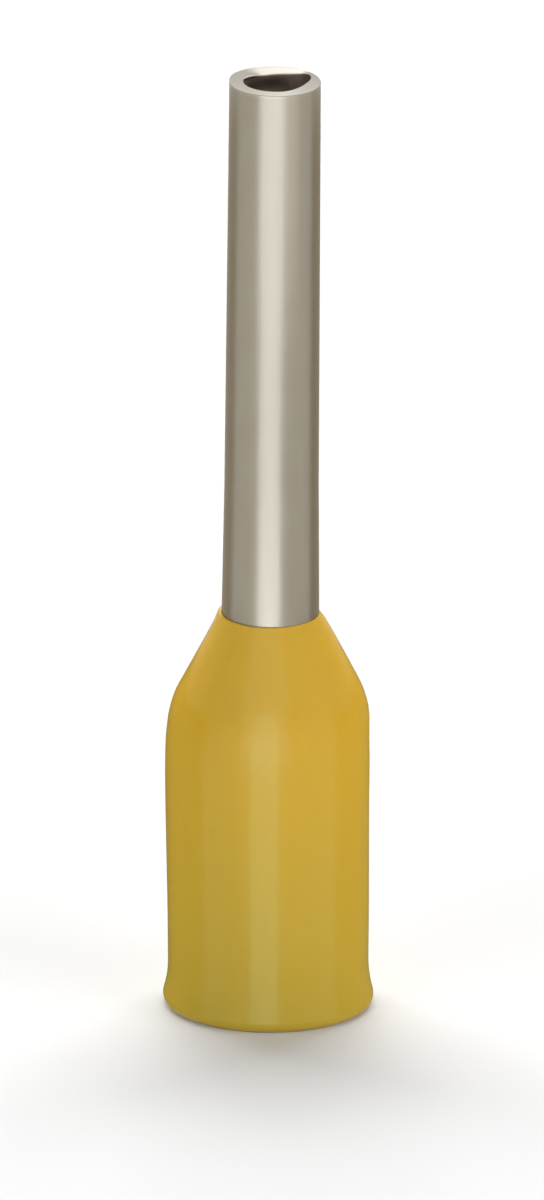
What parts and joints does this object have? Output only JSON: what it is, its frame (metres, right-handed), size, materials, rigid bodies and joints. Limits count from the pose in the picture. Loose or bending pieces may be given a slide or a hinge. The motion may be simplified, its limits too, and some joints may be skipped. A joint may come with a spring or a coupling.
{
  "type": "wire ferrule",
  "caption": "Insulated wire end ferrule: a tinned copper sleeve with a flared inner end, held in a yellow plastic collar.",
  "frame": {"origin": "centre of the collar's mouth, on the plane it stands on", "axes": "+Z along the axis of the sleeve, from the collar's mouth to the open tip"},
  "size_m": [0.0022, 0.0022, 0.0105],
  "materials": {
    "tinned_copper": "satin tin plating",
    "yellow_plastic": "smooth moulded"
  },
  "bodies": {
    "root": {"contact_sleeve": "tinned_copper", "insulating_collar": "yellow_plastic"}
  },
  "joints": []
}
